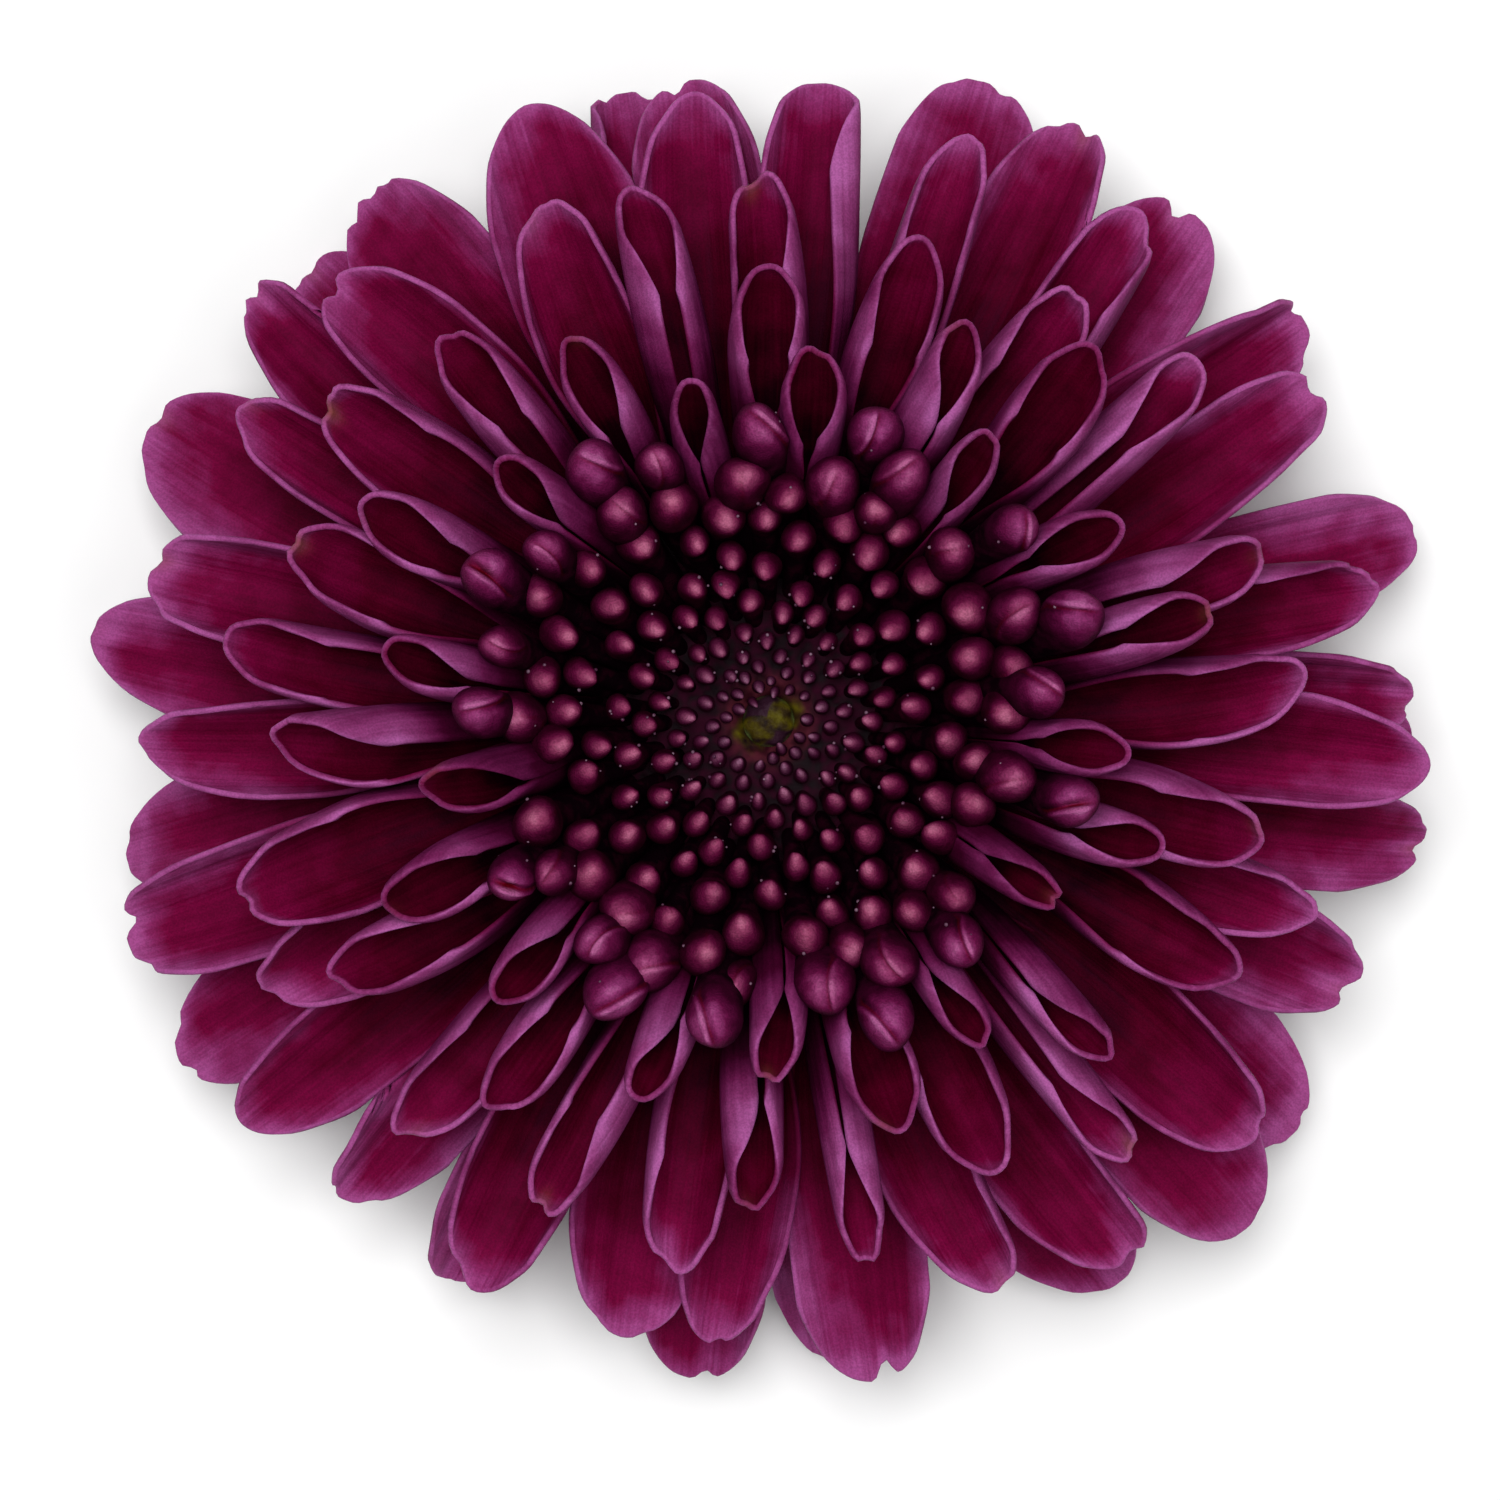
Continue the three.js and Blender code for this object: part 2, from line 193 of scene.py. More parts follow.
# Pieces of closed florets: name, the distances from and to which it holds them, and rows and
# columns of each
CLOSED_PIECES = [
    ("florets_budding", 0.0, 5.5, 20, 18),
    ("florets_closed", 5.5, 10.4, 24, 24),
    ("florets_hooked", 10.4, FACE_RADIUS, 40, 56),
]

# ---- The studio

PHOTO_FIELD = 67.2  # what the photograph's frame takes in, at the height of the outline
OUTLINE_HEIGHT = 3.0
LENS, SENSOR = 100, 36
CAMERA_ASIDE = (-0.8, -1.25)  # of the middle of the bloom
FLOOR_WIDTH = 3000.0
DAYLIGHT = 0.2

# Area lamps: name, place, width, and power in watts
LAMPS = [
    ("key", (-60, 110, 570), 360, 3.1),
    ("fill", (260, -160, 420), 400, 0.55),
]


class Draw:
    """Seeded draws between two values, the same on every run."""

    def __init__(self, seed):
        self.state = seed

    def __call__(self, low, high):
        self.state = (self.state * 1664525 + 1013904223) % 4294967296
        return low + (high - low) * self.state / 4294967296


def at_age(table, age):
    """A table's row at an age, on straight lines between its rows."""
    return [float(np.interp(age, table[:, 0], table[:, i])) for i in range(1, table.shape[1])]


def smooth(low, high, value):
    """0 up to the low value, 1 from the high one, and an even rise between them."""
    share = np.clip((value - low) / (high - low), 0, 1)
    return share * share * (3 - 2 * share)


def bell(value, width):
    """1 where the value is 0, and falling to nothing over about twice the width."""
    return np.exp(-((value / width) ** 2))


def dome_height(radius):
    """Height at a distance from the middle of the dome that the florets stand on."""
    return RECEPTACLE_RIM + RECEPTACLE_DOME * (1 - (radius / RECEPTACLE_RADIUS) ** 2)


def eye_reach(azimuth):
    """How far the bare eye reaches: it is long, and bent round the youngest buds."""
    return EYE_RADIUS * (1.02 + 0.6 * np.cos(2 * (azimuth - 0.51)) + 0.22 * np.cos(azimuth - 4.99))


def foot_radius(age):
    innermost = EYE_RADIUS + 0.6
    return math.sqrt(innermost**2 + (RECEPTACLE_RADIUS**2 - innermost**2) * age)


# ---- How the florets grow


def grow_florets():
    """The florets that stand where the part's own do: all open ones and the first closed ones."""
    draw = Draw(SEED)
    fine = Draw(SEED + 1)
    florets = []
    for k in range(round(FLORETS * (1 - CLOSED_AGE))):
        age = 1 - (k + 0.5) / FLORETS
        unrolled = max(0.0, (age - 0.47) / 0.53)
        reach, tip, rise, end = at_age(MIDRIBS, age)
        half, tip_curl, foot_curl, open_from, open_to, reflex, lip = at_age(BLADES, age)
        reach *= FACE_RADIUS
        tip *= CROWN_HEIGHT
        if age < YOUNG_ENDS[-1, 0]:
            end = at_age(YOUNG_ENDS, age)[0]
        floret = SimpleNamespace(age=age, foot=foot_radius(age))
        floret.azimuth = GOLDEN_ANGLE * k + math.radians(draw(-1, 1) * AZIMUTH_STRAY)
        floret.reach = reach * (1 + draw(-1, 1) * REACH_STRAY)
        floret.tip = tip + draw(-1, 1) * TIP_STRAY * (1 + unrolled)
        floret.rise = math.radians(rise)
        floret.end = math.radians(end + draw(-1, 1) * END_STRAY)
        size = 1 + draw(-1, 1) * SIZE_STRAY
        floret.half = half * size
        floret.knob = (KNOB_RADIUS + KNOB_GROWTH * min(reach, KNOB_REACH)) * size
        floret.tip_curl = tip_curl * (1 + draw(-1, 1) * CURL_STRAY)
        floret.foot_curl = foot_curl
        floret.opening = (open_from, open_to)
        floret.reflex = reflex
        floret.lip = lip
        roll = ROLL_STRAY + YOUNG_ROLL_STRAY * (1 - unrolled) ** 2
        floret.roll = math.radians(draw(-1, 1) * roll)
        floret.twist = math.radians(draw(-1, 1) * TWIST_STRAY)
        floret.sway = draw(-1, 1) * SWAY_STRAY
        if k < SUPPORTS:
            floret.reach = FACE_RADIUS * SUPPORT_REACH
            floret.tip = 0.0
            floret.end = math.radians(SUPPORT_END)
        refine(floret, fine)
        florets.append(floret)
    return florets


def refine(floret, fine):
    """What only the looks tell apart from one floret to the next."""
    floret.notch = max(0.0, fine(-0.3, 1))
    floret.notch_side = fine(-0.35, 0.35)
    floret.slit = fine(-1, 1)  # which way its slit leans
    floret.tint = fine(0, 1)
    floret.rust = max(0.0, fine(-0.6, 1))
    floret.wave = fine(0, 2 * math.pi)
    floret.point = fine(-1, 1)  # from blunt to pointed
    floret.gape = fine(0, 1)
    floret.lean = fine(-1, 1)  # which margin curls further
    floret.ragged = max(0.0, fine(-0.6, 1)) * float(smooth(0.7, 0.9, floret.age))
    floret.crease = 0.7 * max(0.0, fine(-1.4, 1)) * float(smooth(0.8, 0.92, floret.age))
    folded = fine(0, 1) > 0.86 and floret.age > 0.8
    floret.flap = math.copysign(FLAP_TURN if folded else 0.0, fine(-1, 1))
    if floret.age >= CLUB_AGE:
        roll = SOUTH_ROLL * math.cos(floret.azimuth) + SOUTH_ROLL_STRAY * fine(-1, 1)
        floret.roll += math.radians(roll) * (1 - 0.6 * float(smooth(0.78, 0.95, floret.age)))
        floret.azimuth += math.radians(AZIMUTH_STRAY) * fine(-1, 1)
        floret.tip_curl *= 1 + 0.5 * max(0.0, fine(-2.0, 1))


def closed_reaches():
    """Distances from the middle of one closed floret after another, going inwards."""
    reaches = []
    reach = CLOSED_REACH
    while reach > 0.6 * EYE_RADIUS:
        reaches.append(reach)
        spacing = CLOSED_SPACING + SPACING_GROWTH * reach
        reach -= math.sqrt(0.75) * spacing**2 / (2 * math.pi * reach)
    return reaches


def grow_closed(first):
    """The closed florets further in, numbered on from the others, around an irregular bare eye."""
    draw = Draw(SEED + 2)
    fine = Draw(SEED + 3)
    florets = []
    for k, reach in enumerate(closed_reaches(), first):
        spacing = CLOSED_SPACING + SPACING_GROWTH * reach
        azimuth = GOLDEN_ANGLE * k + draw(-1, 1) * CLOSED_STRAY * spacing / reach
        reach += draw(-1, 1) * CLOSED_STRAY * spacing
        knob = CLOSED_KNOB * spacing * draw(0.8, 1.1)
        age = float(np.interp(reach / FACE_RADIUS, MIDRIBS[:, 1], MIDRIBS[:, 0]))
        tip, rise = at_age(MIDRIBS, age)[1:3]
        foot = min(foot_radius(age), 0.4 + 0.75 * reach)
        floret = SimpleNamespace(age=age, azimuth=azimuth, reach=reach, foot=foot, knob=knob)
        floret.tip = tip * CROWN_HEIGHT + draw(-0.6, 0.2) * spacing / 2
        floret.rise = math.radians(rise)
        floret.end = math.radians(at_age(YOUNG_ENDS, age)[0] + draw(-END_STRAY, END_STRAY))
        floret.roll = math.radians(draw(-YOUNG_ROLL_STRAY, YOUNG_ROLL_STRAY))
        floret.twist = math.radians(draw(-1, 1) * TWIST_STRAY)
        floret.sway = draw(-1, 1) * CLOSED_SWAY
        refine(floret, fine)
        if reach > eye_reach(azimuth):
            florets.append(floret)
    return florets


def midrib(floret, s):
    """Points and unit tangents of a floret's midrib at shares s of its length."""
    foot = np.array([floret.foot, dome_height(floret.foot) - FOOT_DEPTH])
    tip = np.array([floret.reach, floret.tip])
    length = np.linalg.norm(tip - foot)
    end_pull = YOUNG_END_PULL if floret.age < YOUNG_AGE else END_PULL
    rise = np.array([math.cos(floret.rise), math.sin(floret.rise)])
    end = np.array([math.cos(floret.end), math.sin(floret.end)])
    first = foot + START_PULL * length * rise
    second = tip - end_pull * length * end
    s = s[..., None]
    r = 1 - s
    point = r**3 * foot + 3 * r**2 * s * first + 3 * r * s**2 * second + s**3 * tip
    along = r**2 * (first - foot) + 2 * r * s * (second - first) + s**2 * (tip - second)
    return point, along / np.linalg.norm(along, axis=-1, keepdims=True)


def laid_round(azimuth, radius, side, height):
    """Points out from the middle along an azimuth, and to the side of it."""
    cos, sin = math.cos(azimuth), math.sin(azimuth)
    return np.stack([radius * cos - side * sin, radius * sin + side * cos, height], -1)


def place(floret, s, x, n, onward=0.0):
    """From a floret's own plane to the bloom: x is across it, n is out of its inner face."""
    point, along = midrib(floret, s)
    point = point + along * np.asarray(onward)[..., None]
    roll = floret.roll * s + floret.twist * s**2
    side = x * np.cos(roll) - n * np.sin(roll) + floret.sway * floret.reach * s**2
    up = x * np.sin(roll) + n * np.cos(roll)
    radius = point[..., 0] - along[..., 1] * up
    return laid_round(floret.azimuth, radius, side, point[..., 1] + along[..., 0] * up)


# ---- Meshes


def add_object(name, data):
    """A new object in the scene."""
    holder = bpy.data.objects.new(name, data)
    bpy.context.scene.collection.objects.link(holder)
    return holder


class MeshParts:
    """Vertices, faces, map corners and vertex values gathered from many parts of one piece."""

    def __init__(self, islands, slenderness=1.0):
        self.vertices = []
        self.faces = []
        self.corners = []
        self.values = {}
        self.count = 0
        self.columns = math.ceil(math.sqrt(islands * slenderness))
        self.rows = math.ceil(islands / self.columns)
        self.used = 0

    def cell(self, corners):
        """Map corners of an island, in the next free cell of the piece's map."""
        column, row = self.used % self.columns, self.used // self.columns
        self.used += 1
        inset = 0.04 + 0.92 * corners
        return (inset + [column, row]) / [self.columns, self.rows]

    def add(self, vertices, faces, corners, values):
        self.vertices.append(vertices)
        self.faces.append(faces + self.count)
        self.corners.append(corners)
        self.count += len(vertices)
        for name, value in values.items():
            whole = np.broadcast_to(np.asarray(value, np.float32), len(vertices))
            self.values.setdefault(name, []).append(whole)

    def build(self, name, material, centre):
        """The piece, moved to the centre of the bloom and riding on the part's one body."""
        vertices = np.concatenate(self.vertices) * MM
        vertices[:, :2] += centre
        faces = np.concatenate(self.faces)
        corners = np.concatenate(self.corners)
        mesh = bpy.data.meshes.new(name)
        mesh.vertices.add(len(vertices))
        mesh.vertices.foreach_set("co", vertices.astype(np.float32).ravel())
        mesh.loops.add(faces.size)
        mesh.loops.foreach_set("vertex_index", faces.astype(np.int32).ravel())
        mesh.polygons.add(len(faces))
        starts = np.arange(len(faces), dtype=np.int32) * faces.shape[1]
        mesh.polygons.foreach_set("loop_start", starts)
        mesh.update(calc_edges=True)
        for key, parts in self.values.items():
            layer = mesh.attributes.new(key, "FLOAT", "POINT")
            layer.data.foreach_set("value", np.concatenate(parts))
        uv = mesh.uv_layers.new(name="OFBake")
        uv.uv.foreach_set("vector", corners.astype(np.float32).ravel())
        # A ring of vertices at a pole becomes one vertex.
        weld = bmesh.new()
        weld.from_mesh(mesh)
        bmesh.ops.remove_doubles(weld, verts=weld.verts, dist=1e-7)
        weld.to_mesh(mesh)
        weld.free()
        mesh.validate()
        mesh.shade_smooth()
        mesh.materials.append(material)
        piece = add_object(name, mesh)
        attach(piece, "root")
        return piece


def quads(grid):
    """Faces of a grid of vertex numbers, out of the side from which rows × columns turns left."""
    a, b, c, d = grid[:-1, :-1], grid[1:, :-1], grid[1:, 1:], grid[:-1, 1:]
    return np.stack([a, b, c, d], -1).reshape(-1, 4)


def grid_corners(rows, columns):
    """Map corners of a grid's faces, over the whole unit square."""
    v, u = np.meshgrid(np.linspace(0, 1, rows), np.linspace(0, 1, columns), indexing="ij")
    points = np.stack([u, v], -1).reshape(-1, 2)
    return points[quads(np.arange(rows * columns).reshape(rows, columns))]


def add_tube(parts, grid, values):
    """A surface closed on itself across its columns, whose last column is its first again."""
    rows, columns = grid.shape[:2]
    numbers = np.arange(rows * (columns - 1)).reshape(rows, columns - 1)
    numbers = np.concatenate([numbers, numbers[:, :1]], 1)
    ring_values = {}
    for key, value in values.items():
        ring_values[key] = np.broadcast_to(value, (rows, columns))[:, :-1].ravel()
    corners = parts.cell(grid_corners(rows, columns))
    parts.add(grid[:, :-1].reshape(-1, 3), quads(numbers)[:, ::-1], corners, ring_values)


def add_turned(parts, profile, columns, values, ripple=0.0):
    """A solid of revolution from rows of radius and height, from its lower axis outwards."""
    turn = np.linspace(0, 2 * np.pi, columns + 1)
    radius, height = profile[:, :1], profile[:, 1:]
    radius = radius * (1 + ripple)
    grid = np.stack([radius * np.cos(turn), radius * np.sin(turn), height + 0 * turn], -1)
    add_tube(parts, grid, values)


def add_sheet(parts, middle, thickness, inner_values, outer_values):
    """A closed sheet about its middle surface, which thins to nothing along its edge."""
    rows, columns = middle.shape[:2]
    along = np.gradient(middle, axis=0)
    across = np.gradient(middle, axis=1)
    normal = np.cross(along, across)
    normal /= np.linalg.norm(normal, axis=-1, keepdims=True) + 1e-9
    offset = normal * thickness[..., None] / 2
    inside = (slice(1, -1), slice(1, -1))
    inner = (middle + offset).reshape(-1, 3)
    outer = (middle - offset)[inside].reshape(-1, 3)
    numbers = np.arange(rows * columns).reshape(rows, columns)
    behind = numbers.copy()
    behind[inside] = rows * columns + np.arange(len(outer)).reshape(rows - 2, columns - 2)
    faces = np.concatenate([quads(numbers), quads(behind)[:, ::-1]])
    corners = grid_corners(rows, columns)
    corners = np.concatenate([parts.cell(corners), parts.cell(corners[:, ::-1])])
    values = {}
    for key, value in inner_values.items():
        back = np.broadcast_to(outer_values[key], (rows, columns))[inside]
        front = np.broadcast_to(value, (rows, columns))
        values[key] = np.concatenate([front.ravel(), back.ravel()])
    parts.add(np.concatenate([inner, outer]), faces, corners, values)


def rounded(distance, over=RIM_ROUND):
    """Share of the full thickness at a distance from an edge that is rounded over."""
    return np.sqrt(1 - (1 - np.clip(distance / over, 0, 1)) ** 2)


# ---- Open florets


def blade_grid():
    """Shares along and across a blade, closer together at its tip and its margins."""
    v = 1 - (1 - np.linspace(0, 1, BLADE_ROWS)) ** 1.4
    even = np.linspace(-1, 1, BLADE_COLUMNS)
    return np.meshgrid(v, 0.7 * np.sin(np.pi / 2 * even) + 0.3 * even, indexing="ij")


def blade_half_width(floret, s):
    widest = 0.55
    taper = 0.14 + 0.14 * smooth(0.85, 0.6, floret.age)
    rising = 0.22 + 0.78 * np.sin(np.pi / 2 * np.clip(s / widest, 0, 1)) ** 1.2
    falling = 1 - taper * np.clip((s - widest) / (1 - widest), 0, 1) ** 2
    return floret.half * np.where(s < widest, rising, falling)


def blade_end(floret, u, length):
    """Share of its length at which a blade ends: round or pointed, notched and toothed."""
    pointed = 0.75 * smooth(0.95, 0.7, floret.age) + 0.25 * floret.point
    cap = (0.13 + 0.15 * pointed) * np.abs(u) ** (2.2 - 0.6 * pointed) + 0.1 * np.abs(u) ** 7
    notch = floret.notch * bell(u - floret.notch_side, 0.14)
    notch = notch + 0.5 * floret.notch * bell(u + floret.notch_side - 0.3, 0.1)
    teeth = floret.ragged * np.maximum(0, np.sin(9 * u + floret.wave)) ** 2
    teeth = teeth * smooth(1, 0.8, np.abs(u))
    return 1 - cap - (notch * NOTCH_DEPTH + teeth * TOOTH_DEPTH) / length


def section_slope(floret, s, width, part):
    """Slope of a blade's cross-section at a share of the way from its midrib to a margin."""
    curl = floret.foot_curl + (floret.tip_curl - floret.foot_curl) * smooth(*floret.opening, s)
    bend = 0.5 * np.minimum(np.minimum(curl, MOST_CURL), 2 * width / LEAST_BEND)
    opened = smooth(5.4, 4.0, curl)
    uneven = (0.14 + 0.2 * opened) * floret.lean
    slope = bend * part * (1 + uneven * part)
    slope = slope - floret.reflex * s**1.5 * part * np.abs(part) ** 1.5
    slope = slope + floret.crease * s * np.tanh(9 * part)
    slope = slope + floret.flap * s * smooth(0.3, 0.8, part * math.copysign(1, floret.flap))
    return slope + floret.lip * opened * s * np.sign(part) * smooth(0.45, 1, np.abs(part))


def blade_surface(floret):
    """The middle surface of an open floret, and where on the floret each of its points is."""
    v, u = blade_grid()
    length = math.hypot(floret.reach - floret.foot, floret.tip - RECEPTACLE_RIM)
    end = blade_end(floret, u, length)
    # The last stretch of each lengthwise line is laid on an arc, so that the tip rolls in.
    roll_span = TIP_ROLL / length
    rolled = np.clip((v - 1) * end / roll_span + 1, 0, None)
    roll_angle = 1.1 * floret.lip + 0.01
    s = v * end - rolled * roll_span + roll_span * np.sin(roll_angle * rolled) / roll_angle
    lifted = TIP_ROLL * (1 - np.cos(roll_angle * rolled)) / roll_angle
    open_share = smooth(0.55, 0.95, floret.age)
    ribs = 0.05 * np.cos(5 * np.pi * u) * smooth(0.1, 0.5, s) * smooth(1, 0.85, np.abs(u))
    waves = 0.2 * np.sin(6 * s + floret.wave + np.sign(u)) * np.abs(u) ** 3 * s
    lifted = lifted + (0.4 + 0.6 * open_share) * ribs + open_share * waves
    width = blade_half_width(floret, s)
    shares = u[..., None] * (np.arange(SECTION_STEPS) + 0.5) / SECTION_STEPS
    slopes = section_slope(floret, s[..., None], width[..., None], shares)
    x = np.cos(slopes).mean(-1) * u * width
    n = np.sin(slopes).mean(-1) * u * width
    slope = section_slope(floret, s, width, u)
    middle = place(floret, s, x - lifted * np.sin(slope), n + lifted * np.cos(slope))
    at = SimpleNamespace(u=u, s=s, margin=(1 - np.abs(u)) * width)
    at.tip, at.foot = (1 - v) * length, v * length
    # How far the surface turns up, which paints light on the backs.
    at.rolled = np.clip(-np.cos(slope), 0, 1)
    return middle, at


def spread(field):
    """A field on a grid grown a little past its edges, without a step."""
    for _ in range(3):
        padded = np.pad(field, 1, mode="edge")
        sides = padded[:-2, 1:-1] + padded[2:, 1:-1] + padded[1:-1, :-2] + padded[1:-1, 2:]
        field = np.maximum(field, sides / 4)
    return field


def settle(florets):
    """Open florets with their surfaces, where each gives way under the younger ones over it."""
    settled = []
    for floret in sorted(florets, key=lambda each: each.age):
        middle, at = blade_surface(floret)
        over = []
        for younger, tree in settled:
            apart = (floret.azimuth - younger.azimuth + math.pi) % (2 * math.pi) - math.pi
            if abs(apart) < YIELD_AZIMUTH:
                over.append(tree)
        give = np.zeros(at.s.shape)
        for index in zip(*np.nonzero(at.s > 0.2)):
            below = Vector(middle[index]) - Vector((0, 0, YIELD_REACH))
            for tree in over:
                distance = tree.ray_cast(below, Vector((0, 0, 1)), YIELD_REACH)[3]
                if distance is not None:
                    give[index] = max(give[index], YIELD_REACH - distance + YIELD_CLEARANCE)
        middle[..., 2] -= spread(give) * smooth(0.2, 0.34, at.s)
        middle[..., 2] = np.maximum(middle[..., 2], FLOOR_CLEARANCE + BLADE_THICK / 2)
        faces = quads(np.arange(at.s.size).reshape(at.s.shape)).tolist()
        tree = BVHTree.FromPolygons(middle.reshape(-1, 3).tolist(), faces)
        settled.append((floret, tree))
        floret.middle, floret.at = middle, at
    return florets


def paint_inner_light(floret, at, edge):
    """Painted light and shade on a blade's inner side, and its rim's painted highlight in its
    back's colour.
    """
    open_share = smooth(0.6, 1.0, floret.age)
    boat_share = smooth(0.64, 0.78, floret.age)
    zone_width = 0.48 + 0.52 * boat_share + 0.75 * open_share
    # Lighter margins: partly the petal's own paler edge, partly a painted glow.
    zone = bell(edge, zone_width * (1 + 0.5 * floret.lean * np.sign(at.u)))
    zone = zone * smooth(0.2, 0.7, at.s)
    # Painted shade inside the tubes of the younger florets and down towards the foot.
    depth = 1 - 0.4 * smooth(0.74, 0.58, floret.age)
    light = (0.05 + 0.12 * open_share + 0.51 * smooth(0.3, 1.1, at.s)) * (1 - 0.5 * zone) * depth
    light = light + (0.46 + 0.14 * boat_share + 0.06 * open_share) * zone
    # A painted highlight along the rim.
    rim = bell(edge, 0.12) * (0.66 - 0.36 * open_share)
    rim = rim * (0.8 + 0.2 * np.sin(4 * at.s + floret.wave + at.u))
    return light + 0.25 * rim, rim


def paint_outer_light(floret, at, edge):
    """Painted shade on a blade's back between the florets, and painted light where it turns up."""
    tube = 1 - smooth(0.62, 0.8, floret.age)
    light = (1 - tube) * smooth(0, 0.8, at.s) + tube * smooth(0.36, 0.72, at.s)
    light = light * (0.6 + 0.34 * at.rolled**1.2 + 0.2 * bell(edge, 0.3))
    # Painted shade towards the bloom's crowded middle.
    from_middle = np.hypot(floret.middle[..., 0], floret.middle[..., 1])
    return light * (0.52 + 0.48 * smooth(9.5, 15, from_middle))


def add_blade(parts, floret):
    at = floret.at
    thickness = BLADE_THICK * rounded(at.margin) * rounded(at.tip) * rounded(at.foot)
    edge = np.minimum(at.margin, at.tip)
    inner_painted_light, rim = paint_inner_light(floret, at, edge)
    notch = bell(at.u - floret.notch_side, 0.16) * bell(at.tip, 0.8)
    rust = floret.rust * floret.notch * notch
    # "light" is painted light and shade; "pale" is the back's own colour, and a painted highlight
    # on the rim.
    shared = {"across": at.u, "along": at.s, "tint": floret.tint, "rust": rust}
    inner = {"pale": rim, "light": inner_painted_light, **shared}
    outer = {"pale": 1.0, "light": paint_outer_light(floret, at, edge), **shared}
    add_sheet(parts, floret.middle, thickness, inner, outer)


# ---- Closed florets


def nearby_places(floret):
    """Reaches and azimuths to try for a floret: its own, then aside, then further in."""
    azimuth, reach = floret.azimuth, floret.reach
    for step in range(ROOM_STEPS):
        inwards, aside = divmod(step, ROOM_ASIDE)
        aside = (aside + 1) // 2 * (-1) ** aside
        yield reach - 0.2 * inwards, azimuth + 0.3 * aside * floret.knob / reach


def make_room(closed, blades):
    """Closed florets, each moved in or aside until its knob is clear of blades and other knobs."""
    near = [floret for floret in blades if floret.age < NEAR_KNOBS_AGE]
    surface = np.concatenate([floret.middle[floret.at.s > 0.15] for floret in near])
    tree = KDTree(len(surface))
    for index, point in enumerate(surface):
        tree.insert(point, index)
    tree.balance()
    knobs = []
    kept = []
    for floret in sorted(closed, key=lambda each: -each.reach):
        for reach, azimuth in nearby_places(floret):
            floret.reach, floret.azimuth = reach, azimuth
            centre = Vector(place(floret, np.array(1.0), 0.0, 0.0, -floret.knob))
            if tree.find(centre)[2] <= 0.9 * floret.knob + BLADE_THICK / 2:
                continue
            if all((centre - other).length > 0.93 * (floret.knob + size) for other, size in knobs):
                knobs.append((centre, floret.knob))
                kept.append(floret)
                break
    return kept


def club_length(floret):
    return math.hypot(floret.reach - floret.foot, floret.tip - dome_height(floret.foot))


def club_profile(rows, cap):
    """For a club's rows: share of its length, angle up over the knob and share of its radius."""
    stem_rows = 0.3
    v = np.linspace(0, 1, rows)[:, None]
    angle = np.clip((v - stem_rows) / (1 - stem_rows), 0, 1) * np.pi / 2
    s = np.where(v < stem_rows, v / stem_rows * (1 - cap), 1 - cap + cap * np.sin(angle))
    stem = 0.5 + 0.5 * np.clip(s / (1 - cap), 0, 1) ** 2
    profile = np.where(v < stem_rows, stem, np.cos(angle) ** 0.95)
    profile[[0, -1]] = 0
    return s, angle, profile


def club_seam(floret, hood, aside, past_crown):
    """Where one margin lies over the other, from the crown down: the hollow beside the seam, its
    lip, the line between them, and the hole where it gapes."""
    gape = hood * max(0.0, floret.gape - 0.65) / 0.35
    over = aside * math.copysign(1, floret.slit) - (0.45 - 0.3 * gape) * (1 - np.cos(past_crown))
    reach = smooth(-0.5, 0.1, past_crown) * smooth(2.2, 1.2, past_crown)
    hollow = smooth(-0.4, -0.04, over) * smooth(0.04, -0.04, over) * reach
    lip = bell(over - 0.12, 0.1) * reach
    line = bell(over + 0.04, 0.05) * reach
    hole = gape * bell(over + 0.12, 0.17) * bell(past_crown - 0.3, 0.5)
    return hollow, lip, line, hole


